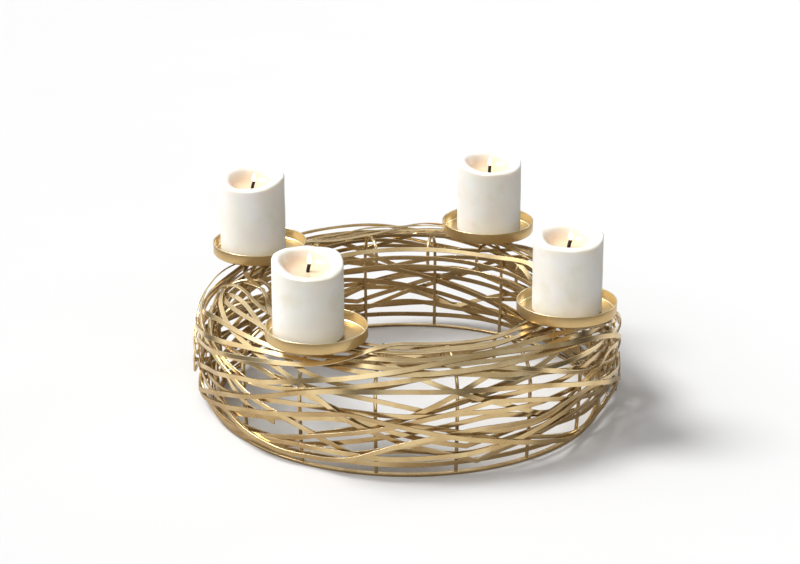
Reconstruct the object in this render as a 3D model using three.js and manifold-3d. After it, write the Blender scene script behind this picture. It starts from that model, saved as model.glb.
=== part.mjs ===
// An advent candle holder: a hollow ring woven from folded flat metal bars over bent rods, with four
// shallow plates on its crest and a pillar candle on each. Millimetres, +Z up. The origin lies on the
// surface that the ring stands on, at its centre. Azimuths are in degrees from the front (-Y), growing
// towards +X. The ring looks the same after half a turn, so what is laid is laid twice.
import * as THREE from "three";
import { mergeVertices } from "three/addons/utils/BufferGeometryUtils.js";
import Module from "manifold-3d";

const wasm = await Module();
wasm.setup();

// Fits: the gap that brazed pieces keep in this model, and what a flat bar adds to it as it bends and tilts.
const clearance = 0.3;
const bendAllowance = 0.2;

// Base hoop, a flat bar on its side. The ribs stand on it.
const baseHoopRadius = 199;
const baseHoopWidth = 5;
const baseHoopHeight = 3;

// Ribs: bent rods, each a C seen from the side, open towards the middle of the ring.
const ribCount = 16;
const ribDiameter = 3;
const firstRibAzimuth = -9;
const bellyRadius = 202;
const bellyHeight = 76;
const bellyStraight = 8.5;
const shoulderBend = 34.5;
const crestFlat = 9.5;
const lipBend = 13;
const lipDrop = 15.5;

// The flat bar of the weave and of the two lip hoops.
const barWidth = 4.8;
const barThickness = 1.4;
const barStep = 26;
const bendStep = 9;
const steepestClimb = 0.22;
const lipHoopSpacing = 10;

// Plates
const plateCount = 4;
const firstPlateAzimuth = -29.3;
const plateRingRadius = 181.4;
const plateDiameter = 100;
const plateHeight = 12;
const plateSheet = 1.1;
const plateCorner = 2;
const pinDiameter = 3;
const pinSpacing = 24;
const shortestPin = 1;

// Candles, with a burnt pool in the top and a wick that runs down the middle.
const candleDiameter = 70;
const candleShoulder = 5;
const candleFoot = 3;
const poolDiameter = 58;
const poolDepth = 15;
const poolSwell = 0.8;
const poolRound = 1;
const wickDiameter = 2;
const wickRise = 8;
const wickSeat = 4;
// How tall each candle stands, from the front left plate round by the right.
const candleHeights = [80, 80, 80, 84];
// How far each candle stands off its plate's centre along X, in the same order.
const candleShifts = [-7.6, 0, 1, -7];
// How far each candle's rim has burnt down, in the same order, and towards which azimuth.
const rimDips = [11, 6, 6, 7];
const dipAzimuth = 30;

// How finely the round shapes are faceted.
const hoopSides = 56;
const plateSides = 28;
const candleSides = 24;
const rodSides = 8;
const ribSides = 6;
const ribSteps = 18;
const plateCornerSteps = 2;
const candleCurveSteps = 3;
const mergeDistance = 1e-4;

// The weave. Each bar is a row of runs, and it folds between one run and the next. A run is a row of
// places, azimuth and height up the wall, with a smooth curve through them; a later run starts where the
// run before it ends. Heights follow the ribs up from the base hoop, over the crest and down to the lip,
// on a wall this long. Bars lie on the ones before them.
const drawnWall = 197;
const weave = [
  [
    [[-93, 112], [-84, 134], [-72, 143], [-58, 138], [-49, 129], [-39, 115], [-30, 104], [-20, 98],
      [-9, 96]],
    [[2, 107], [13, 111], [23, 109], [40, 100], [52, 95], [68, 91], [86, 80], [94, 66]],
    [[96, 76]],
    [[86, 96], [70, 106], [46, 112], [23, 119], [0, 119], [-22, 117]],
  ],
  [
    [[-93, 78], [-82, 86], [-69, 95], [-58, 98], [-48, 95], [-35, 91], [-23, 90], [-9, 85], [6, 72]],
    [[12, 79], [22, 92], [37, 99], [59, 91], [81, 66], [91, 44]],
    [[93, 54]],
    [[80, 64], [64, 76], [48, 90], [36, 98]],
    [[20, 86], [4, 70], [-12, 54], [-26, 38]],
    [[-44, 52], [-60, 66], [-76, 82], [-92, 100]],
  ],
  [
    [[-95, 24], [-86, 12], [-70, 5], [-50, 6], [-28, 12], [-5, 11], [21, 12], [42, 10], [64, 3],
      [84, 12], [93, 32]],
    [[95, 42]],
    [[87, 26], [80, 17], [61, 22], [45, 30], [33, 29], [19, 21], [11, 22], [3, 29], [-5, 27],
      [-15, 21]],
    [[-30, 21], [-44, 19], [-60, 15], [-81, 22], [-91, 42]],
    [[-93, 50]],
    [[-78, 38], [-60, 20], [-46, 6]],
    [[-30, 22], [-10, 40], [8, 54], [24, 62]],
    [[40, 48], [56, 32], [72, 22], [84, 26], [92, 36]],
  ],
  [
    [[-40, 38], [-49, 42], [-56, 52], [-61, 66], [-66, 78], [-80, 96], [-92, 112]],
    [[-93, 122]],
    [[-87, 121], [-79, 127], [-58, 134], [-44, 131], [-28, 130], [-11, 138], [5, 128], [18, 108],
      [30, 98]],
    [[48, 110], [70, 130], [87, 156], [95, 170]],
  ],
  [
    [[-89, 18], [-78, 4], [-60, 1], [-48, 10], [-36, 24], [-24, 39], [-9, 54], [4, 74]],
    [[13, 91], [20, 103], [31, 112], [46, 118], [62, 111], [82, 92], [91, 66]],
    [[92, 56]],
    [[83, 70], [65, 86], [49, 82], [31, 81], [17, 83]],
  ],
  [
    [[94, 58], [84, 45], [66, 43], [52, 45], [39, 50]],
    [[27, 72], [17, 88], [4, 106], [-9, 126], [-20, 142], [-38, 160], [-60, 172], [-83, 184]],
  ],
  [
    [[-93, 26], [-86, 14], [-80, 11], [-66, 18], [-53, 32], [-42, 43], [-24, 58], [-7, 61], [2, 59],
      [13, 49], [26, 31]],
    [[34, 34], [44, 36], [58, 33], [78, 20], [87, 24], [96, 44]],
    [[97, 54]],
    [[86, 52], [73, 60], [50, 62], [28, 67], [8, 69], [-21, 70], [-36, 66], [-49, 58], [-66, 44],
      [-83, 40], [-92, 52]],
    [[-94, 62]],
    [[-76, 78], [-58, 92], [-46, 98]],
    [[-30, 82], [-12, 62], [2, 44], [16, 30]],
    [[34, 44], [52, 58], [70, 66], [84, 72], [93, 86]],
  ],
  [
    [[-90, 126], [-80, 119], [-64, 114], [-55, 111], [-42, 104], [-33, 96], [-25, 82], [-18, 65],
      [-2, 41], [19, 12]],
    [[25, 20], [41, 31], [60, 38], [72, 44], [84, 60], [93, 86]],
    [[94, 96]],
    [[85, 86], [68, 93], [52, 97], [31, 101], [14, 109], [-4, 115], [-24, 119]],
  ],
  [
    [[-96, 92], [-85, 102], [-73, 112], [-56, 117], [-42, 118], [-26, 120], [-13, 123], [9, 124],
      [24, 129], [38, 127], [50, 122], [64, 115], [83, 97], [92, 84]],
    [[93, 94]],
    [[84, 112], [66, 126], [41, 137], [16, 142], [-3, 140], [-26, 146], [-52, 158], [-80, 150],
      [-90, 130]],
    [[-93, 120]],
    [[-80, 104], [-64, 88], [-50, 74]],
    [[-34, 84], [-14, 98], [6, 108], [22, 112]],
    [[40, 98], [56, 80], [72, 66], [84, 60], [93, 50]],
  ],
  [
    [[-92, 112], [-78, 95], [-64, 84], [-58, 75], [-48, 61], [-35, 51], [-28, 42], [-15, 22]],
    [[-2, 38], [14, 46], [30, 42], [40, 46], [54, 52], [66, 54], [82, 51], [92, 36]],
    [[93, 26]],
    [[84, 10], [66, 2], [53, 9], [46, 17], [32, 33]],
  ],
  [
    [[-93, 146], [-82, 168], [-62, 158], [-40, 142], [-12, 130], [10, 131], [34, 136], [60, 150],
      [82, 160]],
    [[83, 170]],
    [[64, 176], [40, 175], [-10, 174], [-40, 172], [-66, 165], [-83, 178]],
  ],
  [
    [[-91, 88], [-82, 91], [-66, 99], [-48, 110], [-28, 114], [-10, 110], [10, 110], [32, 111],
      [48, 110], [59, 106], [82, 90], [93, 70]],
    [[94, 60]],
    [[86, 66], [80, 77], [71, 77], [63, 64], [54, 55], [46, 46], [31, 34], [16, 22], [-16, 24],
      [-35, 22], [-52, 12], [-72, 12], [-88, 32]],
    [[-90, 22]],
    [[-76, 10], [-60, 8], [-44, 20], [-28, 36], [-12, 52], [6, 68], [22, 82]],
    [[40, 68], [56, 50], [70, 36], [84, 22], [92, 10]],
  ],
  [
    [[-90, 62], [-82, 78], [-66, 90], [-52, 98], [-42, 104], [-28, 110], [-18, 118], [-11, 129],
      [-5, 137], [10, 148], [23, 151], [44, 144], [68, 124], [85, 98], [94, 72]],
    [[96, 62]],
    [[86, 44], [73, 54], [57, 61], [46, 59], [36, 49], [20, 51], [8, 49], [-2, 41], [-15, 20]],
    [[-28, 10], [-46, 14], [-64, 28], [-82, 34], [-93, 52]],
  ],
  [
    [[-92, 34], [-81, 50], [-71, 58], [-56, 75], [-43, 83], [-35, 92], [-17, 104], [0, 113], [17, 119],
      [30, 118], [47, 113], [68, 100], [85, 78], [94, 50]],
    [[96, 40]],
    [[88, 28], [81, 34], [59, 64], [44, 80], [27, 92], [3, 96], [-19, 93], [-28, 87], [-45, 65],
      [-62, 44], [-81, 20], [-91, 8]],
    [[-93, 18]],
    [[-80, 14], [-64, 28], [-46, 46], [-30, 60], [-16, 72]],
    [[0, 60], [16, 44], [32, 28], [46, 12], [56, 3]],
    [[72, 16], [84, 30], [92, 46]],
  ],
];

// Finishes
const satinGold = { color: 0xc9ac6b, roughness: 0.38, metalness: 1 };
const plateGold = { color: 0xb98f4e, roughness: 0.35, metalness: 1 };
const ivoryWax = { color: 0xf3efe4, roughness: 0.55, metalness: 0 };
const charredCotton = { color: 0x231d19, roughness: 0.95, metalness: 0 };

const radians = THREE.MathUtils.degToRad;
const ribRadius = ribDiameter / 2;
const turnStep = 360 / ribCount;

// The wall's outline in the half plane through the axis, along the middle of a rib: an arc from the foot
// to the belly, a straight, the shoulder, the crest and the lip.
const leanFrom = (height) => 2 * Math.atan2(bellyRadius - baseHoopRadius, bellyHeight - height);
const footHeight = baseHoopHeight + clearance + ribRadius * Math.abs(Math.sin(leanFrom(baseHoopHeight)));
const footLean = leanFrom(footHeight);
const bellyBend = (bellyHeight - footHeight) / Math.sin(footLean);
const shoulderCentre = bellyRadius - shoulderBend;
const crestHeight = bellyHeight + bellyStraight + shoulderBend;
const crestEnd = shoulderCentre - crestFlat;
const quarterTurn = Math.PI / 2;
const wallParts = [
  {
    length: bellyBend * footLean,
    at: (d) => onArc(bellyRadius - bellyBend, bellyHeight, bellyBend, d / bellyBend - footLean),
  },
  { length: bellyStraight, at: (d) => ({ r: bellyRadius, z: bellyHeight + d, outR: 1, outZ: 0 }) },
  {
    length: shoulderBend * quarterTurn,
    at: (d) => onArc(shoulderCentre, crestHeight - shoulderBend, shoulderBend, d / shoulderBend),
  },
  { length: crestFlat, at: (d) => ({ r: shoulderCentre - d, z: crestHeight, outR: 0, outZ: 1 }) },
  {
    length: lipBend * quarterTurn,
    at: (d) => onArc(crestEnd, crestHeight - lipBend, lipBend, quarterTurn + d / lipBend),
  },
  {
    length: lipDrop,
    at: (d) => ({ r: crestEnd - lipBend, z: crestHeight - lipBend - d, outR: -1, outZ: 0 }),
  },
];
const wallLength = wallParts.reduce((sum, part) => sum + part.length, 0);

function onArc(centreR, centreZ, bend, angle) {
  const outR = Math.cos(angle);
  const outZ = Math.sin(angle);
  return { r: centreR + bend * outR, z: centreZ + bend * outZ, outR, outZ };
}

function wallAt(climb) {
  let left = THREE.MathUtils.clamp(climb, 0, wallLength);
  for (const part of wallParts) {
    if (left <= part.length) return part.at(left);
    left -= part.length;
  }
  const last = wallParts.at(-1);
  return last.at(last.length);
}

// A point that stands off the wall, on its outer side.
function offWall(azimuth, climb, height) {
  const wall = wallAt(climb);
  const r = wall.r + wall.outR * height;
  const a = radians(azimuth);
  return new THREE.Vector3(r * Math.sin(a), -r * Math.cos(a), wall.z + wall.outZ * height);
}

function outOfWall(azimuth, climb) {
  const wall = wallAt(climb);
  const a = radians(azimuth);
  return new THREE.Vector3(wall.outR * Math.sin(a), -wall.outR * Math.cos(a), wall.outZ);
}

// What is laid on the wall so far: the height of the pile in each cell of half a turn.
const cellTurn = 0.4;
const cellClimb = 1.2;
const turnCells = Math.round(180 / cellTurn);
const climbCells = Math.ceil(wallLength / cellClimb) + 1;
const pile = new Float64Array(turnCells * climbCells).fill(ribRadius);
const reach = 1.6;
const barShares = [-0.5, -0.25, 0, 0.25, 0.5];
const samplesPerPlace = 40;
const placingPasses = 8;

// Calls visit with each cell that lies within reach of a spot on the wall.
function nearbyCells(azimuth, climb, visit) {
  const r = wallAt(climb).r;
  const turnReach = THREE.MathUtils.radToDeg(reach / r);
  const lowRow = Math.max(0, Math.ceil((climb - reach) / cellClimb));
  const highRow = Math.min(climbCells - 1, Math.floor((climb + reach) / cellClimb));
  const lowColumn = Math.ceil((azimuth - turnReach) / cellTurn);
  const highColumn = Math.floor((azimuth + turnReach) / cellTurn);
  for (let row = lowRow; row <= highRow; row++) {
    for (let column = lowColumn; column <= highColumn; column++) {
      const across = radians(column * cellTurn - azimuth) * r;
      if (Math.hypot(across, row * cellClimb - climb) <= reach) {
        visit(row * turnCells + THREE.MathUtils.euclideanModulo(column, turnCells));
      }
    }
  }
}

function pileNear(azimuth, climb) {
  let highest = ribRadius;
  nearbyCells(azimuth, climb, (cell) => {
    highest = Math.max(highest, pile[cell]);
  });
  return highest;
}

function raisePile(azimuth, climb, height) {
  nearbyCells(azimuth, climb, (cell) => {
    pile[cell] = Math.max(pile[cell], height);
  });
}

// The highest point of the pile, and of the ribs, within a circle seen from above.
function pileTopUnder(centreX, centreY, radius) {
  let top = 0;
  for (let row = 0; row < climbCells; row++) {
    const wall = wallAt(row * cellClimb);
    for (let column = 0; column < turnCells; column++) {
      const height = pile[row * turnCells + column];
      const r = wall.r + wall.outR * height;
      for (const a of [radians(column * cellTurn), radians(column * cellTurn + 180)]) {
        const away = Math.hypot(r * Math.sin(a) - centreX, -r * Math.cos(a) - centreY);
        if (away <= radius) top = Math.max(top, wall.z + wall.outZ * height);
      }
    }
  }
  return top;
}

// The stations of a bar along its runs.
function stationsOf(runs) {
  return runs.flatMap((run, i) => {
    const places = i > 0 ? [runs[i - 1].at(-1), ...run] : run;
    return spreadAlong(places).slice(i > 0 ? 1 : 0);
  });
}

// Stations along one run, from end to end, close enough together that the flats stay near the wall.
function spreadAlong(places) {
  const turnLength = radians(1) * bellyRadius;
  const wallScale = wallLength / drawnWall;
  const points = places.map(([turn, climb]) => new THREE.Vector2(turn * turnLength, climb));
  const samples = new THREE.SplineCurve(points).getPoints(places.length * samplesPerPlace);
  const passed = [0];
  for (let k = 1; k < samples.length; k++) {
    const along = Math.abs(samples[k].x - samples[k - 1].x);
    const up = Math.abs(samples[k].y - samples[k - 1].y);
    passed.push(passed[k - 1] + Math.max(along / barStep, up / bendStep));
  }
  const whole = passed.at(-1);
  const steps = Math.ceil(whole);
  return Array.from({ length: steps + 1 }, (_, step) => {
    const next = passed.findIndex((share) => share >= (step / steps) * whole);
    const sample = step < steps ? samples[next] : samples.at(-1);
    return { azimuth: sample.x / turnLength, climb: sample.y * wallScale };
  });
}

// The section of a bar at each station, mitred at the folds: its middle, the way across and the way out.
function sectionsOf(stations, heights) {
  const points = stations.map((station, i) => offWall(station.azimuth, station.climb, heights[i]));
  const directions = points.slice(1).map((point, i) => point.clone().sub(points[i]).normalize());
  return points.map((point, i) => {
    const before = directions[Math.max(i - 1, 0)];
    const after = directions[Math.min(i, directions.length - 1)];
    const along = before.clone().add(after).normalize();
    const out = outOfWall(stations[i].azimuth, stations[i].climb);
    out.addScaledVector(along, -out.dot(along)).normalize();
    const side = along.clone().cross(out).divideScalar(along.dot(after));
    return { point, side, out };
  });
}

// Where a point lies on the wall: its azimuth, its climb, found from a near guess, and its height.
function placeOnWall(point, guess) {
  const r = Math.hypot(point.x, point.y);
  let climb = guess;
  let wall = wallAt(climb);
  for (let pass = 0; pass < placingPasses; pass++) {
    const ahead = (point.z - wall.z) * wall.outR - (r - wall.r) * wall.outZ;
    climb = THREE.MathUtils.clamp(climb + ahead / 2, 0, wallLength);
    wall = wallAt(climb);
  }
  const azimuth = THREE.MathUtils.radToDeg(Math.atan2(point.x, -point.y));
  return { azimuth, climb, height: (r - wall.r) * wall.outR + (point.z - wall.z) * wall.outZ };
}

// Spots all over a bar's flats, each with how far it is lifted by the flatness of the bar when the
// stations stand at a steady height.
function spotsOf(stations) {
  const steady = ribRadius + barThickness;
  const sections = sectionsOf(stations, stations.map(() => steady));
  const spotsAlong = 10;
  const spots = [];
  for (let i = 1; i < stations.length; i++) {
    for (let k = 0; k <= spotsAlong; k++) {
      const t = k / spotsAlong;
      const turn = THREE.MathUtils.lerp(stations[i - 1].azimuth, stations[i].azimuth, t);
      const climbGuess = THREE.MathUtils.lerp(stations[i - 1].climb, stations[i].climb, t);
      for (const share of barShares) {
        const from = sections[i - 1].point.clone().addScaledVector(sections[i - 1].side, share * barWidth);
        const to = sections[i].point.clone().addScaledVector(sections[i].side, share * barWidth);
        const { azimuth, climb, height } = placeOnWall(from.lerp(to, t), climbGuess);
        spots.push({ step: i, t, turn, azimuth, climb, lift: height - steady });
      }
    }
  }
  return spots;
}

// Lays a bar on the pile: gives each station the height of the bar's middle over the wall, then raises
// the pile by the bar. A bar of more than half a turn ends over the start of its own twin.
function layBar(stations) {
  const spots = spotsOf(stations);
  const turns = stations.map((station) => station.azimuth);
  const [firstTurn, lastTurn] = [Math.min(...turns), Math.max(...turns)];
  restOnPile(spots);
  const endTurn = THREE.MathUtils.radToDeg(barWidth / bellyRadius);
  const early = spots.filter((spot) => spot.turn < lastTurn - 180 + endTurn);
  raiseBy(restingHeights(stations, spots), early);
  restOnPile(spots.filter((spot) => spot.turn > firstTurn + 180 - endTurn));
  const heights = restingHeights(stations, spots);
  raiseBy(heights, spots);
  return heights;
}

function restOnPile(spots) {
  for (const spot of spots) {
    const under = pileNear(spot.azimuth, spot.climb) + clearance + bendAllowance;
    spot.needed = under + barThickness / 2 - spot.lift;
  }
}

// The lowest heights, found in small steps down, at which a bar clears the pile at each spot and bends
// nowhere too steeply.
function restingHeights(stations, spots) {
  const feet = stations.map((station) => offWall(station.azimuth, station.climb, 0));
  const drops = feet.slice(1).map((foot, i) => steepestClimb * foot.distanceTo(feet[i]));
  const start = Math.max(...spots.map((spot) => spot.needed));
  const heights = stations.map(() => start);
  const besides = stations.map((_, i) => spots.filter(({ step }) => step === i || step === i + 1));
  const stepDown = 0.4;
  const lowest = (i) => {
    let low = Math.max(
      i > 0 ? heights[i - 1] - drops[i - 1] : 0,
      i < heights.length - 1 ? heights[i + 1] - drops[i] : 0,
    );
    for (const { step, t, needed } of besides[i]) {
      const share = step === i ? t : 1 - t;
      const other = step === i ? heights[i - 1] : heights[i + 1];
      if (share > 0) low = Math.max(low, (needed - (1 - share) * other) / share);
    }
    return low;
  };
  for (let sweep = 0; sweep < start / stepDown; sweep++) {
    heights.forEach((height, i) => {
      heights[i] = Math.max(lowest(i), height - stepDown);
    });
  }
  return heights;
}

function raiseBy(heights, spots) {
  for (const { step, t, azimuth, climb, lift } of spots) {
    const middle = THREE.MathUtils.lerp(heights[step - 1], heights[step], t) + lift;
    raisePile(azimuth, climb, middle + barThickness / 2);
  }
}

// A flat bar through the stations: a box with a section at each, its wide side on the wall.
function barGeometry(stations, heights) {
  const sections = sectionsOf(stations, heights);
  const steps = stations.length - 1;
  const geometry = new THREE.BoxGeometry(barWidth, barThickness, 1, 1, 1, steps);
  const position = geometry.getAttribute("position");
  const corner = new THREE.Vector3();
  for (let i = 0; i < position.count; i++) {
    corner.fromBufferAttribute(position, i);
    const section = sections[Math.round((corner.z + 0.5) * steps)];
    const placed = section.point.clone();
    placed.addScaledVector(section.side, -corner.x).addScaledVector(section.out, corner.y);
    position.setXYZ(i, placed.x, placed.y, placed.z);
  }
  return geometry;
}

function closed(geometry) {
  const bare = geometry.clone();
  bare.deleteAttribute("normal");
  bare.deleteAttribute("uv");
  return mergeVertices(bare, mergeDistance);
}

function solid(geometry) {
  const shell = closed(geometry);
  const vertProperties = shell.attributes.position.array;
  const triVerts = new Uint32Array(shell.index.array);
  return new wasm.Manifold(new wasm.Mesh({ numProp: 3, vertProperties, triVerts }));
}

function geometryOf(made) {
  const mesh = made.getMesh();
  const geometry = new THREE.BufferGeometry();
  geometry.setAttribute("position", new THREE.BufferAttribute(mesh.vertProperties, 3));
  geometry.setIndex(new THREE.BufferAttribute(mesh.triVerts, 1));
  return geometry;
}

function finished(name, geometry, finish) {
  const mesh = new THREE.Mesh(geometry, new THREE.MeshStandardMaterial(finish));
  mesh.geometry.computeVertexNormals();
  mesh.name = name;
  return mesh;
}

// A hoop of flat bar with a rectangular section.
function hoopGeometry(innerRadius, outerRadius, bottom, top) {
  const section = [
    new THREE.Vector2(innerRadius, bottom),
    new THREE.Vector2(outerRadius, bottom),
    new THREE.Vector2(outerRadius, top),
    new THREE.Vector2(innerRadius, top),
    new THREE.Vector2(innerRadius, bottom),
  ];
  return new THREE.LatheGeometry(section, hoopSides).rotateX(quarterTurn);
}

class RibCurve extends THREE.Curve {
  getPoint(t, target = new THREE.Vector3()) {
    const wall = wallAt(t * wallLength);
    return target.set(wall.r, 0, wall.z);
  }
}

function ribGeometry() {
  const section = new THREE.Shape();
  section.absarc(0, 0, ribRadius, 0, 2 * Math.PI);
  return new THREE.ExtrudeGeometry(section, {
    curveSegments: ribSides / 2,
    steps: ribSteps,
    extrudePath: new RibCurve(),
  });
}

function plateGeometry(pins) {
  const radius = plateDiameter / 2;
  const outline = new THREE.Path();
  const innerCorner = plateCorner - plateSheet / 2;
  outline.moveTo(0, 0);
  outline.lineTo(radius - plateCorner, 0);
  outline.absarc(radius - plateCorner, plateCorner, plateCorner, -quarterTurn, 0);
  outline.lineTo(radius, plateHeight);
  outline.lineTo(radius - plateSheet, plateHeight);
  outline.lineTo(radius - plateSheet, plateSheet + innerCorner);
  outline.lineTo(radius - plateSheet - innerCorner, plateSheet);
  outline.lineTo(0, plateSheet);
  const pan = new THREE.LatheGeometry(outline.getPoints(plateCornerSteps), plateSides).rotateX(quarterTurn);
  let made = solid(pan);
  const pinRadius = pinDiameter / 2;
  for (const pin of pins) {
    const rod = new THREE.CylinderGeometry(pinRadius, pinRadius, pin.length + plateSheet / 2, rodSides);
    rod.rotateX(quarterTurn);
    rod.translate(pin.x, pin.y, (plateSheet / 2 - pin.length) / 2);
    made = made.add(solid(rod));
  }
  return geometryOf(made);
}

// The candle's outline turned round the axis, then its rim let down on one side.
function candleGeometry(candleHeight, rimDip) {
  const radius = candleDiameter / 2;
  const poolRadius = poolDiameter / 2;
  const boreRadius = wickDiameter / 2 + clearance;
  const poolFloor = candleHeight - poolDepth;
  const outline = new THREE.Path();
  outline.moveTo(0, 0);
  outline.lineTo(radius - candleFoot, 0);
  outline.quadraticCurveTo(radius, 0, radius, candleFoot);
  outline.lineTo(radius, candleHeight - candleShoulder);
  outline.quadraticCurveTo(radius, candleHeight, (radius + poolRadius) / 2, candleHeight);
  outline.quadraticCurveTo(poolRadius * poolSwell, poolFloor + poolRound, boreRadius, poolFloor);
  outline.lineTo(boreRadius, wickSeat);
  outline.lineTo(0, wickSeat);
  const geometry = new THREE.LatheGeometry(outline.getPoints(candleCurveSteps), candleSides);
  geometry.rotateX(quarterTurn);
  const dipAngle = radians(dipAzimuth);
  const position = geometry.getAttribute("position");
  for (let i = 0; i < position.count; i++) {
    const [x, y, z] = [position.getX(i), position.getY(i), position.getZ(i)];
    const high = THREE.MathUtils.smoothstep(z, poolFloor, candleHeight);
    const towardsDip = Math.max(0, (x * Math.sin(dipAngle) - y * Math.cos(dipAngle)) / radius);
    position.setZ(i, z - rimDip * high * towardsDip);
  }
  return geometry;
}

const holder = new THREE.Group();

function buildFrame() {
  const baseInner = baseHoopRadius - baseHoopWidth / 2;
  const baseOuter = baseHoopRadius + baseHoopWidth / 2;
  holder.add(finished("base_hoop", hoopGeometry(baseInner, baseOuter, 0, baseHoopHeight), satinGold));
  for (let i = 0; i < ribCount; i++) {
    const rib = finished("rib_" + String(i + 1).padStart(2, "0"), ribGeometry(), satinGold);
    rib.rotation.z = radians(firstRibAzimuth + i * turnStep) - quarterTurn;
    holder.add(rib);
  }
}

// The lip hoops lie on the ribs' inner ends, towards the middle of the ring.
function buildLipHoops() {
  const outer = crestEnd - lipBend - ribRadius - clearance;
  const lowest = wallAt(wallLength).z;
  ["lip_hoop_lower", "lip_hoop_upper"].forEach((name, i) => {
    const bottom = lowest + i * lipHoopSpacing;
    const hoop = hoopGeometry(outer - barThickness, outer, bottom, bottom + barWidth);
    holder.add(finished(name, hoop, satinGold));
    const climb = wallLength - i * lipHoopSpacing - barWidth / 2;
    const height = ribRadius + clearance + barThickness;
    for (let turn = 0; turn < 180; turn += cellTurn) {
      for (const share of barShares) raisePile(turn, climb + share * barWidth, height);
    }
  });
}

function buildWeave() {
  weave.forEach((runs, i) => {
    const stations = stationsOf(runs);
    const heights = layBar(stations);
    ["front", "back"].forEach((half, turned) => {
      const name = half + "_bar_" + String(i + 1).padStart(2, "0");
      const bar = finished(name, barGeometry(stations, heights), satinGold);
      bar.rotation.z = turned * Math.PI;
      holder.add(bar);
    });
  });
}

// The plates lie level, over the highest bar under any of them, and stand on pins over the nearest rib.
function buildPlates() {
  const azimuths = Array.from({ length: plateCount }, (_, i) => firstPlateAzimuth + (i * 360) / plateCount);
  const centres = azimuths.map((azimuth) => {
    const a = radians(azimuth);
    return new THREE.Vector2(plateRingRadius * Math.sin(a), -plateRingRadius * Math.cos(a));
  });
  const tops = centres.map((centre) => pileTopUnder(centre.x, centre.y, plateDiameter / 2));
  const seat = Math.max(...tops) + clearance + shortestPin;
  centres.forEach((centre, i) => {
    const nearest = Math.round((azimuths[i] - firstRibAzimuth) / turnStep);
    const a = radians(firstRibAzimuth + nearest * turnStep);
    const pins = [-1, 1].map((way) => {
      const r = plateRingRadius + (way * pinSpacing) / 2;
      const [x, y] = [r * Math.sin(a), -r * Math.cos(a)];
      const top = pileTopUnder(x, y, pinDiameter / 2 + reach);
      return { x: x - centre.x, y: y - centre.y, length: seat - top - clearance };
    });
    const plate = finished("candle_plate_" + (i + 1), plateGeometry(pins), plateGold);
    plate.position.set(centre.x, centre.y, seat);
    holder.add(plate);

    const candle = finished("candle_" + (i + 1), candleGeometry(candleHeights[i], rimDips[i]), ivoryWax);
    candle.position.set(centre.x + candleShifts[i], centre.y, seat + plateSheet + clearance);
    const wickLength = candleHeights[i] - poolDepth + wickRise - wickSeat - clearance;
    const thread = new THREE.CylinderGeometry(wickDiameter / 2, wickDiameter / 2, wickLength, rodSides);
    const wick = finished("wick_" + (i + 1), thread.rotateX(quarterTurn), charredCotton);
    wick.position.copy(candle.position);
    wick.position.z += wickSeat + clearance + wickLength / 2;
    holder.add(candle, wick);
  });
}

buildFrame();
buildLipHoops();
buildWeave();
buildPlates();

export default holder;
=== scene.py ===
import math

import bmesh
import bpy
from mathutils import Matrix, Vector, noise


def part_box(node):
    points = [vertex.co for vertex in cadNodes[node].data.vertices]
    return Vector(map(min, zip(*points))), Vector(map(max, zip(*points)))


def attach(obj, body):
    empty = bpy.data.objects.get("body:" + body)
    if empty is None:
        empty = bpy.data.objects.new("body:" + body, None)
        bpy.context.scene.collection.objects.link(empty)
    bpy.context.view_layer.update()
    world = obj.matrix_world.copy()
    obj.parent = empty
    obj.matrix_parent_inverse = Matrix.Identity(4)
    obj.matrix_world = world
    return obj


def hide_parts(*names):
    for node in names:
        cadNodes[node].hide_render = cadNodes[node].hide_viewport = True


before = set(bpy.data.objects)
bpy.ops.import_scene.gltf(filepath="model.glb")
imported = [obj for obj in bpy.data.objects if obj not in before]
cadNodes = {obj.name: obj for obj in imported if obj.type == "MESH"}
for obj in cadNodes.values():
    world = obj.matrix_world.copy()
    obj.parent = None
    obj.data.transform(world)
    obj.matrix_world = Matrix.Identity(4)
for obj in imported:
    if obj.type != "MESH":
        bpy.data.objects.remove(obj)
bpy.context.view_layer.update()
mm = 0.001

meshLooks = {
    "merge": 0.01 * mm,      # corners closer than this become one
    "flatAngle": 40,         # degrees; faces that meet more gently are shaded as one surface
    "bevelAngle": 50,        # degrees; only sharper edges are rounded
}


def newObject(name, data):
    made = bpy.data.objects.new(name, data)
    bpy.context.scene.collection.objects.link(made)
    return made


def pieceFrom(bm, name, body, material, replaced=(), flatAngle=meshLooks["flatAngle"]):
    # Turns a finished bmesh into a piece that rides on its body and takes the given material
    bmesh.ops.recalc_face_normals(bm, faces=bm.faces)
    mesh = bpy.data.meshes.new(name)
    bm.to_mesh(mesh)
    bm.free()
    mesh.shade_smooth()
    mesh.set_sharp_from_angle(angle=math.radians(flatAngle))
    piece = newObject(name, mesh)
    mesh.materials.append(material)
    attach(piece, body)
    if replaced:
        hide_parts(*replaced)
    return piece


def addSubdivision(piece, levels):
    soft = piece.modifiers.new("Curve", "SUBSURF")
    soft.levels = levels
    soft.render_levels = levels


def addBevel(piece, width, segments, materialIndex=-1):
    edge = piece.modifiers.new("Edges", "BEVEL")
    edge.width = width
    edge.segments = segments
    edge.material = materialIndex
    edge.limit_method = "ANGLE"
    edge.angle_limit = math.radians(meshLooks["bevelAngle"])
    edge.harden_normals = True


def profileEdges(bm, points):
    # A wire outline in the XZ plane, from (radius, height) pairs
    corners = [bm.verts.new((r, 0, z)) for r, z in points]
    for first, second in zip(corners, corners[1:]):
        bm.edges.new((first, second))
    return corners


def roundCorner(bm, corner, size, segments):
    bmesh.ops.bevel(bm, geom=[corner], offset=size, offset_type="OFFSET", segments=segments,
                    profile=0.5, affect="VERTICES", material=-1)


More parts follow.
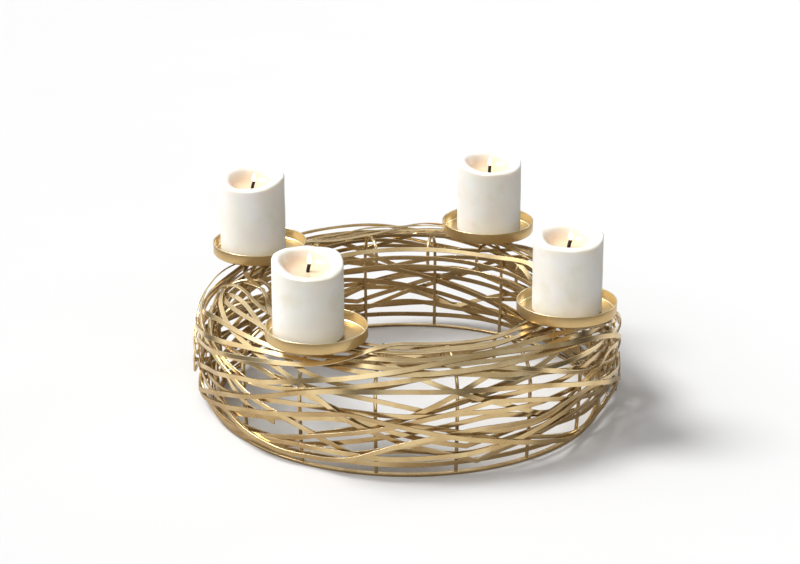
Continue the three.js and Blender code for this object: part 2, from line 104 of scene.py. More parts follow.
def spinRound(bm, steps):
    wire = list(bm.verts) + list(bm.edges)
    bmesh.ops.spin(bm, geom=wire, cent=(0, 0, 0), axis=(0, 0, 1), angle=math.tau, steps=steps, use_merge=True)
    bmesh.ops.remove_doubles(bm, verts=bm.verts, dist=meshLooks["merge"])


def smoothStep(value, low, high):
    t = min(max((value - low) / (high - low), 0), 1)
    return t * t * (3 - 2 * t)


class Nodes:
    # A short way to add nodes and join them up, in a material or in the sky
    def __init__(self, owner):
        owner.use_nodes = True
        self.material = owner
        self.tree = owner.node_tree
        self.shader = self.tree.nodes.get("Principled BSDF")
        self.output = self.tree.nodes.get("Material Output") or self.tree.nodes["World Output"]

    def add(self, kind, **values):
        node = self.tree.nodes.new(kind)
        for name, value in values.items():
            setattr(node, name, value)
        return node

    def join(self, start, end):
        self.tree.links.new(start, end)

    def feed(self, value, socket):
        # A socket takes the output of another node, or a plain value
        if isinstance(value, bpy.types.NodeSocket):
            self.join(value, socket)
        else:
            socket.default_value = value

    def place(self, scale=(1, 1, 1)):
        where = self.add("ShaderNodeTexCoord")
        mapping = self.add("ShaderNodeMapping")
        mapping.inputs["Scale"].default_value = scale
        self.join(where.outputs["Object"], mapping.inputs["Vector"])
        return mapping.outputs["Vector"]

    def noise(self, vector, scale, detail=3.0, roughness=0.5, shift=None):
        node = self.add("ShaderNodeTexNoise")
        if shift:
            node.noise_dimensions = "4D"
            self.join(shift, node.inputs["W"])
        node.inputs["Scale"].default_value = scale
        node.inputs["Detail"].default_value = detail
        node.inputs["Roughness"].default_value = roughness
        self.join(vector, node.inputs["Vector"])
        return node.outputs["Fac"]

    def span(self, value, low, high, fromLow=0.3, fromHigh=0.7):
        node = self.add("ShaderNodeMapRange")
        node.inputs["From Min"].default_value = fromLow
        node.inputs["From Max"].default_value = fromHigh
        node.inputs["To Min"].default_value = low
        node.inputs["To Max"].default_value = high
        self.join(value, node.inputs["Value"])
        return node.outputs["Result"]

    def mixColor(self, factor, first, second, blend="MIX"):
        node = self.add("ShaderNodeMix", data_type="RGBA", blend_type=blend)
        # The colour sockets come after those for numbers and vectors
        for value, place in ((factor, 0), (first, 6), (second, 7)):
            self.feed(value, node.inputs[place])
        return node.outputs[2]

    def mixShader(self, factor, first, second):
        node = self.add("ShaderNodeMixShader")
        for value, socket in zip((factor, first, second), node.inputs):
            self.join(value, socket)
        return node.outputs[0]

    def along(self, vector, direction, base=0.0):
        # How far a vector points along a direction, with a base value added
        dot = self.add("ShaderNodeVectorMath", operation="DOT_PRODUCT")
        dot.inputs[1].default_value = direction
        self.join(vector, dot.inputs[0])
        return self.sum(dot.outputs["Value"], base)

    def sum(self, first, second, operation="ADD"):
        node = self.add("ShaderNodeMath", operation=operation)
        self.feed(first, node.inputs[0])
        self.feed(second, node.inputs[1])
        return node.outputs[0]

    def bump(self, height, distance):
        node = self.add("ShaderNodeBump")
        node.inputs["Distance"].default_value = distance
        self.join(height, node.inputs["Height"])
        return node.outputs["Normal"]


goldLooks = {
    "cloudScale": 22,        # per metre
    "cloudSpan": (0.35, 0.68),
    "grainScale": 1400,
    "grainHeight": 0.012 * mm,
}
# The share of a finish that isn't metal takes soft shadows, as a matt lacquer does
barFinish = {
    "color": (0.76, 0.605, 0.345, 1),
    "deepColor": (0.50, 0.355, 0.165, 1),
    "smooth": 0.17,
    "rough": 0.30,
    "metal": 0.9,
}
highlightFinish = {               # a painted highlight: the finish painted bright along an edge
    "color": (0.93, 0.82, 0.58, 1),
    "deepColor": (0.86, 0.71, 0.43, 1),
    "smooth": 0.16,
    "rough": 0.26,
    "metal": 0.9,
}
plateFinish = {
    "color": (0.63, 0.47, 0.235, 1),
    "deepColor": (0.52, 0.36, 0.16, 1),
    "smooth": 0.28,
    "rough": 0.36,
    "metal": 0.85,
}


def newMaterial(name):
    return Nodes(bpy.data.materials.new(name))


def satinGold(name, looks):
    n = newMaterial(name)
    where = n.place()
    strip = n.add("ShaderNodeAttribute", attribute_name="strip").outputs["Fac"]
    clouds = n.noise(where, goldLooks["cloudScale"], detail=4.0, roughness=0.55, shift=strip)
    grain = n.noise(where, goldLooks["grainScale"], detail=2.0, roughness=0.6)
    base = n.mixColor(n.span(clouds, 0, 1, *goldLooks["cloudSpan"]), looks["deepColor"], looks["color"])
    n.join(base, n.shader.inputs["Base Color"])
    n.shader.inputs["Metallic"].default_value = looks["metal"]
    n.join(n.span(clouds, looks["rough"], looks["smooth"]), n.shader.inputs["Roughness"])
    n.join(n.bump(grain, goldLooks["grainHeight"]), n.shader.inputs["Normal"])
    return n.material


waxLooks = {
    "color": (0.875, 0.868, 0.845, 1),
    "deepColor": (0.83, 0.80, 0.71, 1),
    "patchColor": (0.74, 0.70, 0.56, 1),  # clear spots where the wax has melted once
    "patchScale": 38,        # per metre
    "patchSpan": (0.56, 0.70),
    "patchStrength": 0.45,
    "spillSpan": (0.38, 0.58),
    "spillLeast": 0.2,       # how much of a spill still shows between its spots
    # painted flame light: a warm colour inside the pool
    "poolFlameLightColor": (0.84, 0.655, 0.46, 1),
    "roughness": 0.55,
    "poolRoughness": 0.22,
    "cloudScale": 30,        # per metre
    "bloomScale": 260,
    "bloomHeight": 0.04 * mm,
    "scatter": (8 * mm, 5 * mm, 3.2 * mm),
    "scatterWeight": 0.45,
    "refraction": 1.44,
    # painted flame light: a faint glow inside the pool
    "flameLightGlowColor": (1.0, 0.76, 0.56, 1),
    "flameLightGlowStrength": 0.04,
}


def ivoryWax():
    n = newMaterial("ivoryWax")
    where = n.place()
    clouds = n.noise(where, waxLooks["cloudScale"], detail=4.0)
    bloom = n.noise(where, waxLooks["bloomScale"], roughness=0.55)
    melted = n.noise(where, waxLooks["patchScale"], detail=2.0)
    base = n.mixColor(n.span(clouds, 0, 1), waxLooks["color"], waxLooks["deepColor"])
    spilt = n.add("ShaderNodeAttribute", attribute_name="spill").outputs["Fac"]
    spilt = n.sum(n.span(melted, waxLooks["spillLeast"], 1, *waxLooks["spillSpan"]), spilt, "MULTIPLY")
    patches = n.span(melted, 0, waxLooks["patchStrength"], *waxLooks["patchSpan"])
    base = n.mixColor(n.sum(patches, spilt, "MAXIMUM"), base, waxLooks["patchColor"])
    # Inside the pool the wax is glossier, and takes painted flame light: a warm colour and a faint glow
    warm = n.add("ShaderNodeAttribute", attribute_name="pool").outputs["Fac"]
    base = n.mixColor(warm, base, waxLooks["poolFlameLightColor"])
    n.join(base, n.shader.inputs["Base Color"])
    gloss = n.span(warm, waxLooks["roughness"], waxLooks["poolRoughness"], 0, 1)
    n.join(gloss, n.shader.inputs["Roughness"])
    n.shader.inputs["Subsurface Weight"].default_value = waxLooks["scatterWeight"]
    n.shader.inputs["Subsurface Radius"].default_value = waxLooks["scatter"]
    n.shader.inputs["Subsurface Scale"].default_value = 1.0
    n.shader.inputs["IOR"].default_value = waxLooks["refraction"]
    n.shader.inputs["Emission Color"].default_value = waxLooks["flameLightGlowColor"]
    n.join(n.span(warm, 0, waxLooks["flameLightGlowStrength"], 0, 1), n.shader.inputs["Emission Strength"])
    n.join(n.bump(bloom, waxLooks["bloomHeight"]), n.shader.inputs["Normal"])
    return n.material


cottonLooks = {
    "color": (0.006, 0.005, 0.004, 1),
    "ashColor": (0.030, 0.022, 0.018, 1),
    "strandScale": 1500,     # per metre
    "strandStretch": (1, 1, 0.35),  # less up the wick, so the strands are long that way
    "strandHeight": 0.15 * mm,
    "roughness": 0.9,
}


def charredCotton():
    n = newMaterial("charredCotton")
    where = n.place(scale=cottonLooks["strandStretch"])
    strands = n.noise(where, cottonLooks["strandScale"], roughness=0.6)
    base = n.mixColor(n.span(strands, 0, 1), cottonLooks["color"], cottonLooks["ashColor"])
    n.join(base, n.shader.inputs["Base Color"])
    n.shader.inputs["Roughness"].default_value = cottonLooks["roughness"]
    n.join(n.bump(strands, cottonLooks["strandHeight"]), n.shader.inputs["Normal"])
    return n.material


flameLooks = {
    "core": (1.0, 0.96, 0.78, 1),
    "edge": (1.0, 0.56, 0.14, 1),
    "strength": 1.9,
    "rimBlend": 0.4,         # how wide the rim of the flame is, against its core
    "rimSpan": (0.25, 0.85),
    "rimWarmth": 0.85,
    "heatScale": 160,        # per metre
    "heatWarmth": 0.15,
    "clearFrom": 0.5,
    "clearEdge": 0.2,        # how clear the flame is at its outline
}


def flameGlow():
    n = newMaterial("flameGlow")
    n.tree.nodes.remove(n.shader)
    facing = n.add("ShaderNodeLayerWeight")
    facing.inputs["Blend"].default_value = flameLooks["rimBlend"]
    rim = facing.outputs["Facing"]
    heat = n.noise(n.place(), flameLooks["heatScale"], detail=1.0)
    warmRim = n.span(rim, 0, flameLooks["rimWarmth"], *flameLooks["rimSpan"])
    warmth = n.sum(warmRim, n.span(heat, 0, flameLooks["heatWarmth"]))
    glow = n.add("ShaderNodeEmission")
    n.join(n.mixColor(warmth, flameLooks["core"], flameLooks["edge"]), glow.inputs["Color"])
    glow.inputs["Strength"].default_value = flameLooks["strength"]
    clear = n.add("ShaderNodeBsdfTransparent")
    clearness = n.span(rim, 0, flameLooks["clearEdge"], flameLooks["clearFrom"], 1)
    shown = n.mixShader(clearness, glow.outputs[0], clear.outputs[0])
    n.join(shown, n.output.inputs["Surface"])
    return n.material


barGold = satinGold("barGold", barFinish)
# A painted highlight, for rounded bar edges and the plates' rim and inner corner
highlightGold = satinGold("highlightGold", highlightFinish)
plateGold = satinGold("plateGold", plateFinish)
wax = ivoryWax()
cotton = charredCotton()
flameLight = flameGlow()
print("materials ready")


barLooks = {
    "smoothLevels": 2,       # subdivision along each bar
    "foldAngle": 24,         # degrees; a sharper bend keeps its corner
    "squareAngle": 45,       # degrees; between a strip's faces and its narrow sides
    "flatAngle": 0.002,      # radians; across the diagonal of a flat end
    "edgeRound": 0.5 * mm,
    "edgeSegments": 2,
    "twist": 28,             # degrees; how far the strips lean out of the wall, at the most
    "twistPace": 6,          # per metre
    "stripStep": 3.7,        # keeps the twist and the finish of two strips apart
}


def mergedCopy(node):
    bm = bmesh.new()
    bm.from_mesh(cadNodes[node].data)
    bmesh.ops.remove_doubles(bm, verts=bm.verts, dist=meshLooks["merge"])
    return bm


def layersFrom(start):
    # Rings of vertices along a bar or rod, each one edge further from the starting ring
    rings = [set(start)]
    seen = set(start)
    while rings[-1]:
        reached = {edge.other_vert(v) for v in rings[-1] for edge in v.link_edges} - seen
        seen |= reached
        rings.append(reached)
    return rings[:-1]


def barRings(bm):
    # Only from a true end does every layer hold four corners
    for edge in bm.edges:
        if edge.calc_face_angle(math.pi) < barLooks["flatAngle"]:
            corners = {v for face in edge.link_faces for v in face.verts}
            rings = layersFrom(corners)
            if all(len(ring) == 4 for ring in rings):
                return rings
    return []


def middleOf(ring):
    return sum((v.co for v in ring), Vector()) / len(ring)


def leanStrip(rings, middles, number):
    # Each strip leans a little to one side or the other along its way
    along = 0
    for i in range(1, len(rings) - 1):
        along += (middles[i] - middles[i - 1]).length
        way = (middles[i + 1] - middles[i - 1]).normalized()
        spot = Vector((along * barLooks["twistPace"], number * barLooks["stripStep"], 0))
        lean = Matrix.Rotation(math.radians(barLooks["twist"]) * noise.noise(spot), 3, way)
        for v in rings[i]:
            v.co = middles[i] + lean @ (v.co - middles[i])


def smoothBar(node, number):
    bm = mergedCopy(node)
    crease = bm.edges.layers.float.new("crease_edge")
    stripLayer = bm.verts.layers.float.new("strip")
    for v in bm.verts:
        v[stripLayer] = number * barLooks["stripStep"]
    rings = barRings(bm)
    layer = {v: i for i, ring in enumerate(rings) for v in ring}
    middles = [middleOf(ring) for ring in rings]
    sharpRings = {0, len(rings) - 1}
    for i in range(1, len(rings) - 1):
        before = middles[i] - middles[i - 1]
        after = middles[i + 1] - middles[i]
        if before.angle(after) > math.radians(barLooks["foldAngle"]):
            sharpRings.add(i)
    diagonals = []
    for edge in bm.edges:
        first, second = (layer[v] for v in edge.verts)
        square = edge.calc_face_angle(0) > math.radians(barLooks["squareAngle"])
        atEnd = first in (0, len(rings) - 1)
        if first == second:
            if first in sharpRings and (square or not atEnd):
                edge[crease] = 1.0
            elif atEnd:
                diagonals.append(edge)
        elif square:
            edge[crease] = 1.0
        else:
            diagonals.append(edge)
    bmesh.ops.dissolve_edges(bm, edges=diagonals, use_verts=False)
    leanStrip(rings, middles, number)
    piece = pieceFrom(bm, node + "_strip", "holder", barGold, [node])
    # The rounded edges take the second material, a painted highlight
    piece.data.materials.append(highlightGold)
    addSubdivision(piece, barLooks["smoothLevels"])
    addBevel(piece, barLooks["edgeRound"], barLooks["edgeSegments"], materialIndex=1)


barNodes = sorted(name for name in cadNodes if "_bar_" in name)
for number, node in enumerate(barNodes):
    smoothBar(node, number)
print("bars ready:", len(barNodes))


rodLooks = {
    "cadSides": 6,           # of the CAD rods
    "curveSteps": 4,         # from one CAD ring to the next
    "roundSteps": 4,
    "hoopSteps": 240,
    "hoopRound": 0.8 * mm,
    "hoopRoundShare": 0.35,  # of a thin hoop's thickness, at the most
    "hoopSegments": 3,
    "ribSwell": 1.2,         # how thick the ribs look against the CAD rods
}


def ribRod(node):
    # A round rod on the curve through the middles of the CAD rib's rings
    bm = mergedCopy(node)
    foot = sorted(bm.verts, key=lambda v: v.co.z)[:rodLooks["cadSides"]]
    rings = layersFrom(foot)
    middles = [middleOf(ring) for ring in rings]
    radius = max((v.co - middles[0]).length for v in rings[0])
    bm.free()
    curve = bpy.data.curves.new(node + "_rod", "CURVE")
    curve.dimensions = "3D"
    curve.bevel_depth = radius * rodLooks["ribSwell"]
    curve.bevel_resolution = rodLooks["roundSteps"]
    curve.resolution_u = rodLooks["curveSteps"]
    curve.use_fill_caps = True
    spline = curve.splines.new("BEZIER")
    spline.bezier_points.add(len(middles) - 1)
    for point, middle in zip(spline.bezier_points, middles):
        point.co = middle
        point.handle_left_type = "AUTO"
        point.handle_right_type = "AUTO"
    curve.materials.append(barGold)
    rod = newObject(node + "_rod", curve)
    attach(rod, "holder")
    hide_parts(node)


def roundHoop(node):
    corners = [v.co for v in cadNodes[node].data.vertices]
    outer = max(math.hypot(c.x, c.y) for c in corners)
    inner = min(math.hypot(c.x, c.y) for c in corners)
    low = min(c.z for c in corners)
    high = max(c.z for c in corners)
    bm = bmesh.new()
    loop = profileEdges(bm, [(inner, low), (outer, low), (outer, high), (inner, high)])
    bm.edges.new((loop[-1], loop[0]))
    spinRound(bm, rodLooks["hoopSteps"])
    piece = pieceFrom(bm, node + "_ring", "holder", barGold, [node])
    rounding = min(rodLooks["hoopRound"], rodLooks["hoopRoundShare"] * (outer - inner))
    addBevel(piece, rounding, rodLooks["hoopSegments"])


ribNodes = sorted(name for name in cadNodes if name.startswith("rib_"))
for node in ribNodes:
    ribRod(node)
hoopNodes = sorted(name for name in cadNodes if "hoop" in name)
for node in hoopNodes:
    roundHoop(node)
print("ribs and hoops ready:", len(ribNodes), len(hoopNodes))


plateLooks = {
    "sheet": 1.1 * mm,
    "outerCorner": 2.0 * mm,
    "innerCorner": 1.3 * mm,
    "rimRound": 0.3 * mm,
    "steps": 144,
    "floorShare": 0.8,       # of the radius; the underside is looked for outside it
    "pinRadius": 1.5 * mm,
    "pinSides": 16,
    "pinRound": 0.3 * mm,
    "pinSegments": 2,
    "pinDrop": 0.5 * mm,     # a CAD corner this far under the plate is on a pin
    "pinSpacing": 8 * mm,
    "blobRadius": 2.2 * mm,  # the brazing at the pin's top
    "blobFlat": 0.45,
}


def platePins(node, corners, underside):
    # The pins under the plate, found as the groups of low CAD corners
    sheet = plateLooks["sheet"]
    groups = []
    for tip in (c for c in corners if c.z < underside - plateLooks["pinDrop"]):
        near = next((g for g in groups if (g[0] - tip).length < plateLooks["pinSpacing"]), None)
        if near:
            near.append(tip)
        else:
            groups.append([tip])
    for count, group in enumerate(groups, 1):
        place = sum(group, Vector()) / len(group)
        bm = bmesh.new()
        bmesh.ops.create_cone(bm, cap_ends=True, segments=plateLooks["pinSides"],
                              radius1=plateLooks["pinRadius"], radius2=plateLooks["pinRadius"],
                              depth=underside - place.z + sheet)
        bmesh.ops.translate(bm, verts=bm.verts, vec=(place.x, place.y, (underside + place.z + sheet) / 2))
        blob = bmesh.ops.create_icosphere(bm, subdivisions=3, radius=plateLooks["blobRadius"])["verts"]
        bmesh.ops.scale(bm, verts=blob, vec=(1, 1, plateLooks["blobFlat"]))
        bmesh.ops.translate(bm, verts=blob, vec=(place.x, place.y, underside))
        pin = pieceFrom(bm, f"{node}_pin_{count}", "holder", barGold)
        addBevel(pin, plateLooks["pinRound"], plateLooks["pinSegments"])


def candlePlate(number):
    node = f"candle_plate_{number}"
    low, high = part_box(node)
    middle = (low + high) / 2
    corners = [v.co for v in cadNodes[node].data.vertices]
    radius = max(math.hypot(c.x - middle.x, c.y - middle.y) for c in corners)
    rimTop = high.z
    outside = plateLooks["floorShare"] * radius
    underside = min(c.z for c in corners if math.hypot(c.x - middle.x, c.y - middle.y) > outside)
    sheet = plateLooks["sheet"]
    bm = bmesh.new()
    outline = profileEdges(bm, [
        (0, underside), (radius, underside), (radius, rimTop),
        (radius - sheet, rimTop), (radius - sheet, underside + sheet), (0, underside + sheet),
    ])
    roundCorner(bm, outline[4], plateLooks["innerCorner"], segments=5)
    roundCorner(bm, outline[3], plateLooks["rimRound"], segments=3)
    roundCorner(bm, outline[2], plateLooks["rimRound"], segments=3)
    roundCorner(bm, outline[1], plateLooks["outerCorner"], segments=6)
    spinRound(bm, plateLooks["steps"])
    # The rim and the corner between wall and floor take a painted highlight
    corner = radius - sheet - plateLooks["innerCorner"]
    for face in bm.faces:
        spot = face.calc_center_median()
        onRim = spot.z > rimTop - plateLooks["rimRound"]
        inCorner = corner < spot.xy.length < radius - sheet and spot.z < rimTop - sheet
        if onRim or inCorner:
            face.material_index = 1
    bmesh.ops.translate(bm, verts=bm.verts, vec=(middle.x, middle.y, 0))
    piece = pieceFrom(bm, node + "_pan", "holder", plateGold, [node], flatAngle=60)
    piece.data.materials.append(highlightGold)
    platePins(node, corners, underside)


candleCount = sum(name.startswith("candle_plate_") for name in cadNodes)
for number in range(1, candleCount + 1):
    candlePlate(number)
print("plates ready")


candleLooks = {
    "bodies": ["front_left_candle", "front_right_candle", "back_right_candle", "back_left_candle"],
    "steps": 120,
    "footRound": 3.0 * mm,
    "shoulder": 2.2 * mm,
    "rimInside": 3.2 * mm,
    "rimWidths": [7.5 * mm, 9.5 * mm, 8.5 * mm, 9.0 * mm],  # from the outside to the pool's edge
    "poolCorner": 7 * mm,
    "poolDepth": 15 * mm,
    "poolFloorShare": 0.72,
    "poolFloorRise": 1.5 * mm,
    "rimDips": [11 * mm, 6 * mm, 6 * mm, 7 * mm],
    "dipTowards": [(0.34, -0.94), (-0.10, -0.99), (0.26, -0.97), (-0.42, -0.91)],
    "dipStart": -0.35,        # where the rim starts to dip, from -1 at the back to 1 at the front
    "sideCuts": 20,
    "unevenness": 0.6 * mm,
    "lumpPace": 60,           # per metre
    "lumpStep": 7,            # keeps the lumps of two candles apart
    "dentPace": 45,
    "spills": [0.9, 0.35, 0.4, 0.2],  # how much wax has run down from the lowest part of the rim
    "spillReach": 24 * mm,
    "spillFull": 0.3,         # the share of its reach where the spill is at its strongest
    "spillFrom": 0.6,         # of the way round to the lowest part
    "warmInside": 7 * mm,     # the warm colour of painted flame light, and the pool's gloss, fade out from this far inside the pool's edge
    "warmOutside": 1.5 * mm,
    "warmUnder": 1 * mm,
}

wickLooks = {
    "radius": 1.8 * mm,
    "sides": 12,
    "steps": 10,
    "length": 8.5 * mm,       # over the pool's floor
    "buried": 4 * mm,
    "strandPace": 900,        # per metre
    "strandHeight": 0.12 * mm,
    "strandSeed": 1,
    "lean": [2.0 * mm, 2.2 * mm, 0.5 * mm, 2.4 * mm],
    "flameHeight": [13.5 * mm, 13 * mm, 11.5 * mm, 10.5 * mm],
    "flameRadius": 3.1 * mm,
    # The flame's outline, as shares of its radius and height
    "flameOutline": [(0, 0), (0.75, 0.10), (1, 0.32), (0.62, 0.62), (0.22, 0.88), (0, 1)],
    "flameSteps": 24,
    "flameSink": 0.8 * mm,
}


def candleBlank(low, high, radius, floor, poolRadius):
    # A pillar with a pool in its top, still level and even all round
    bm = bmesh.new()
    outline = profileEdges(bm, [
        (0, low), (radius, low), (radius, high), (poolRadius, high),
        (candleLooks["poolFloorShare"] * poolRadius, floor + candleLooks["poolFloorRise"]), (0, floor),
    ])
    roundCorner(bm, outline[4], candleLooks["poolCorner"], segments=8)
    roundCorner(bm, outline[3], candleLooks["rimInside"], segments=5)
    roundCorner(bm, outline[2], candleLooks["shoulder"], segments=8)
    roundCorner(bm, outline[1], candleLooks["footRound"], segments=5)
    side = [edge for edge in bm.edges if all(abs(v.co.x - radius) < meshLooks["merge"] for v in edge.verts)]
    bmesh.ops.subdivide_edges(bm, edges=side, cuts=candleLooks["sideCuts"])
    spinRound(bm, candleLooks["steps"])
    return bm


def meltedCandle(number):
    node = f"candle_{number}"
    low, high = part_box(node)
    middle = (low + high) / 2
    radius = (high.x - low.x) / 2
    poolRadius = radius - candleLooks["rimWidths"][number - 1]
    floor = high.z - candleLooks["poolDepth"]
    bm = candleBlank(low.z, high.z, radius, floor, poolRadius)
    pool = {}
    spill = {}
    warmFrom = poolRadius - candleLooks["warmInside"]
    warmTo = poolRadius + candleLooks["warmOutside"]
    spillReach = candleLooks["spillReach"]
    dip = candleLooks["rimDips"][number - 1]
    towards = candleLooks["dipTowards"][number - 1]
    bm.verts.index_update()
    for v in bm.verts:
        away = math.hypot(v.co.x, v.co.y)
        # Inside the pool the wax is glossy and takes painted flame light
        inside = 1 - smoothStep(away, warmFrom, warmTo)
        pool[v.index] = inside if v.co.z > floor - candleLooks["warmUnder"] else 0
        share = smoothStep(v.co.z, floor, high.z)
        slope = smoothStep((v.co.x * towards[0] + v.co.y * towards[1]) / radius, candleLooks["dipStart"], 1)
        below = 1 - smoothStep(high.z - v.co.z, candleLooks["spillFull"] * spillReach, spillReach)
        around = smoothStep(slope, candleLooks["spillFrom"], 1)
        spill[v.index] = candleLooks["spills"][number - 1] * below * around * (1 - inside)
        v.co.z -= dip * share * slope
        lumps = noise.noise(v.co * candleLooks["lumpPace"] + Vector((number * candleLooks["lumpStep"], 0, 0)))
        v.co.z += 2 * candleLooks["unevenness"] * lumps * share
        dent = 0.5 + 0.5 * noise.noise(v.co * candleLooks["dentPace"])
        pull = 1 - candleLooks["unevenness"] * dent * (1 - inside) / radius
        v.co.x *= pull
        v.co.y *= pull
    bmesh.ops.translate(bm, verts=bm.verts, vec=(middle.x, middle.y, 0))
    poolLayer = bm.verts.layers.float.new("pool")
    spillLayer = bm.verts.layers.float.new("spill")
    for v in bm.verts:
        v[poolLayer] = pool[v.index]
        v[spillLayer] = spill[v.index]
    pieceFrom(bm, node + "_wax", candleLooks["bodies"][number - 1], wax, [node], flatAngle=70)
    return middle, floor


def burntWick(number, middle, floor):
    node = f"wick_{number}"
    body = candleLooks["bodies"][number - 1]
    bm = bmesh.new()
    bmesh.ops.create_circle(bm, segments=wickLooks["sides"], radius=wickLooks["radius"])
    bmesh.ops.translate(bm, verts=bm.verts, vec=(middle.x, middle.y, floor - wickLooks["buried"]))
    edges = list(bm.edges)
    steps = wickLooks["steps"]
    lean = wickLooks["lean"][number - 1]
    # Without a seed the vector noise starts from the clock, and the wicks change from run to run
    noise.seed_set(wickLooks["strandSeed"])
    for step in range(1, steps + 1):
        made = bmesh.ops.extrude_edge_only(bm, edges=edges)["geom"]
        ring = [g for g in made if isinstance(g, bmesh.types.BMVert)]
        edges = [g for g in made if isinstance(g, bmesh.types.BMEdge) and all(v in ring for v in g.verts)]
        rise = (wickLooks["length"] + wickLooks["buried"]) / steps
        bend = lean * ((step / steps) ** 2 - ((step - 1) / steps) ** 2)
        bmesh.ops.translate(bm, verts=ring, vec=(bend, 0, rise))
        for v in ring:
            v.co += noise.noise_vector(v.co * wickLooks["strandPace"]) * wickLooks["strandHeight"]
    bmesh.ops.holes_fill(bm, edges=bm.edges, sides=wickLooks["sides"])
    top = Vector((middle.x + lean, middle.y, floor + wickLooks["length"]))
    piece = pieceFrom(bm, node + "_burnt", body, cotton, [node], flatAngle=80)
    addSubdivision(piece, 1)
    return top


def flame(number, top):
    body = candleLooks["bodies"][number - 1]
    height = wickLooks["flameHeight"][number - 1]
    radius = wickLooks["flameRadius"]
    bm = bmesh.new()
    profileEdges(bm, [(radius * out, height * up) for out, up in wickLooks["flameOutline"]])
    spinRound(bm, wickLooks["flameSteps"])
    bmesh.ops.translate(bm, verts=bm.verts, vec=top - Vector((0, 0, wickLooks["flameSink"])))
    piece = pieceFrom(bm, f"flame_{number}", body, flameLight, flatAngle=180)
    addSubdivision(piece, 2)


for number in range(1, candleCount + 1):
    middle, floor = meltedCandle(number)
    top = burntWick(number, middle, floor)
    flame(number, top)
print("candles ready")


studio = {
    "paper": (0.71, 0.71, 0.71, 1),      # the floor as the camera sees it
    "paperBounce": (0.30, 0.30, 0.30, 1),
    "paperInMetal": (0.84, 0.81, 0.77, 1),
    # the floor under the ring as the metal sees it: a painted shadow
    "paperShadowInMetal": (0.26, 0.20, 0.14, 1),
    # the floor far out as the metal sees it: painted dark, a painted reflection
    "paperFarDarkInMetal": (0.06, 0.05, 0.04, 1),
    "ringShade": (0.18, 0.36),           # how far from the middle the floor, as the metal sees it, darkens with painted shadow
    "farDarkSpan": (0.62, 0.90),           # and where, as the metal sees it, the floor is painted dark farther out
    "mottle": (0.985, 0.985, 0.985, 1),
    "mottleScale": 3,                    # per metre
    "paperRoughness": 0.7,
    "paperShine": 0.1,
    "floorReach": 12,
    "sunStrength": 2.85,
    "sunAngle": 25,                      # degrees
    "sunFrom": (-0.85, 0.12, 1.3),
    "rimEnergy": 8,
    "rimPlace": (1.9, 1.2, 0.9),
    "rimSize": 0.8,
    "skyBase": 0.62,
    "skySlope": (-0.72, -0.62, 0.0),
    "metalSkyBase": 0.95,
    "metalSkySlope": (-0.45, -0.15, 0),
    "metalSkyLow": 0.3,
    # How bright the metal finds the studio, from the horizon (0) up to the ceiling (1)
    "metalSkyHeights": [(0.0, 0.05), (0.13, 0.08), (0.34, 1.15), (0.66, 1.0), (1.0, 0.42)],
    "softboxFrom": (-0.50, 0.15, 0.85),
    "softboxEdge": (0.86, 0.97),
    "softboxGlow": 2.4,
}


def lamp(name, kind, energy, place):
    data = bpy.data.lights.new(name, kind)
    data.energy = energy
    light = newObject(name, data)
    light.location = place
    light.rotation_euler = (-Vector(place)).to_track_quat("-Z", "Y").to_euler()
    return data


def studioLamps():
    sun = lamp("sun", "SUN", studio["sunStrength"], studio["sunFrom"])
    sun.angle = math.radians(studio["sunAngle"])
    rim = lamp("rim", "AREA", studio["rimEnergy"], studio["rimPlace"])
    rim.shape = "DISK"
    rim.size = studio["rimSize"]


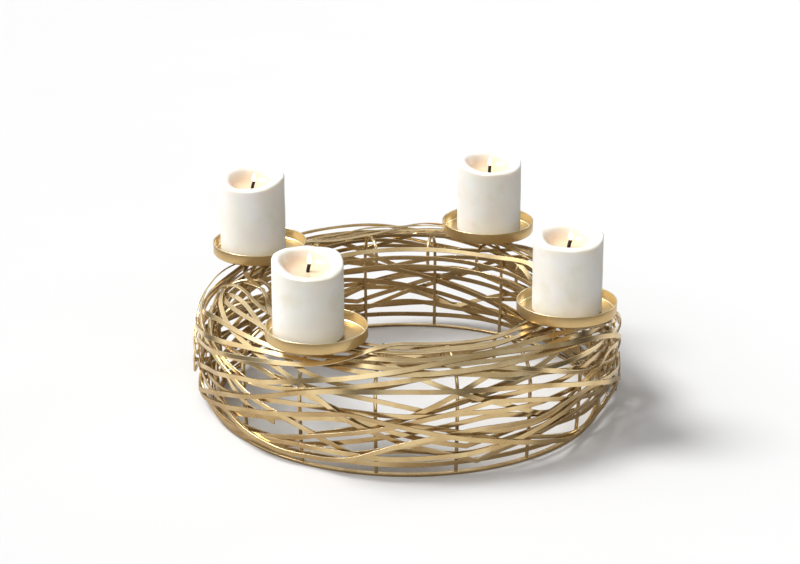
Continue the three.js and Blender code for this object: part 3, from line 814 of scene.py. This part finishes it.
def studioFloor():
    bm = bmesh.new()
    bmesh.ops.create_grid(bm, x_segments=8, y_segments=8, size=studio["floorReach"])
    mesh = bpy.data.meshes.new("studioFloor")
    bm.to_mesh(mesh)
    bm.free()
    floor = newObject("studioFloor", mesh)
    n = newMaterial("floorPaper")
    path = n.add("ShaderNodeLightPath")
    base = n.mixColor(path.outputs["Is Camera Ray"], studio["paperBounce"], studio["paper"])
    where = n.place()
    away = n.add("ShaderNodeVectorMath", operation="LENGTH")
    n.join(where, away.inputs[0])
    shade = n.span(away.outputs["Value"], 0, 1, *studio["ringShade"])
    edge = n.span(away.outputs["Value"], 0, 1, *studio["farDarkSpan"])
    # As the metal sees it, the floor holds a painted shadow under the ring and is painted dark far out:
    # painted reflections
    mirrored = n.mixColor(shade, studio["paperShadowInMetal"], studio["paperInMetal"])
    mirrored = n.mixColor(edge, mirrored, studio["paperFarDarkInMetal"])
    base = n.mixColor(path.outputs["Is Glossy Ray"], base, mirrored)
    mottle = n.mixColor(n.span(n.noise(where, studio["mottleScale"]), 0, 1), (1, 1, 1, 1), studio["mottle"])
    n.join(n.mixColor(1.0, base, mottle, "MULTIPLY"), n.shader.inputs["Base Color"])
    n.shader.inputs["Roughness"].default_value = studio["paperRoughness"]
    n.shader.inputs["Specular IOR Level"].default_value = studio["paperShine"]
    mesh.materials.append(n.material)


def sky():
    # One soft sky for wax and paper, another with a bright box overhead for the metal, white behind it all
    world = bpy.data.worlds.new("studioSky")
    bpy.context.scene.world = world
    n = Nodes(world)
    way = n.add("ShaderNodeTexCoord").outputs["Generated"]
    path = n.add("ShaderNodeLightPath")
    soft = n.along(way, studio["skySlope"], studio["skyBase"])
    glow = n.span(n.along(way, studio["softboxFrom"]), 0, studio["softboxGlow"], *studio["softboxEdge"])
    height = n.add("ShaderNodeValToRGB")
    n.join(n.along(way, (0, 0, 1)), height.inputs["Fac"])
    stops = height.color_ramp.elements
    while len(stops) < len(studio["metalSkyHeights"]):
        stops.new(0.5)
    for stop, (place, bright) in zip(stops, studio["metalSkyHeights"]):
        stop.position = place
        stop.color = (bright, bright, bright, 1)
    metalSky = n.along(way, studio["metalSkySlope"], studio["metalSkyBase"])
    metalSky = n.sum(n.sum(metalSky, studio["metalSkyLow"], "MAXIMUM"), height.outputs["Color"], "MULTIPLY")
    metalSky = n.sum(metalSky, glow)
    layers = []
    for strength in (soft, metalSky, 1.0):
        layer = n.add("ShaderNodeBackground")
        layer.inputs["Color"].default_value = (1, 1, 1, 1)
        n.feed(strength, layer.inputs["Strength"])
        layers.append(layer.outputs[0])
    shown = layers[0]
    for ray, layer in (("Is Glossy Ray", layers[1]), ("Is Camera Ray", layers[2])):
        shown = n.mixShader(path.outputs[ray], shown, layer)
    n.join(shown, n.output.inputs["Surface"])


cameraLooks = {
    "place": (-0.0079, -2.115, 0.912),
    "tilt": 69.64,           # degrees from straight down
    "sensor": 36,
    "lens": 97.97,
}


def camera():
    data = bpy.data.cameras.new("camera")
    data.sensor_width = cameraLooks["sensor"]
    data.lens = cameraLooks["lens"]
    cam = newObject("camera", data)
    cam.location = cameraLooks["place"]
    cam.rotation_euler = (math.radians(cameraLooks["tilt"]), 0, 0)
    bpy.context.scene.camera = cam


studioFloor()
studioLamps()
sky()
camera()
bpy.context.scene.view_settings.view_transform = "Standard"
print("studio ready")
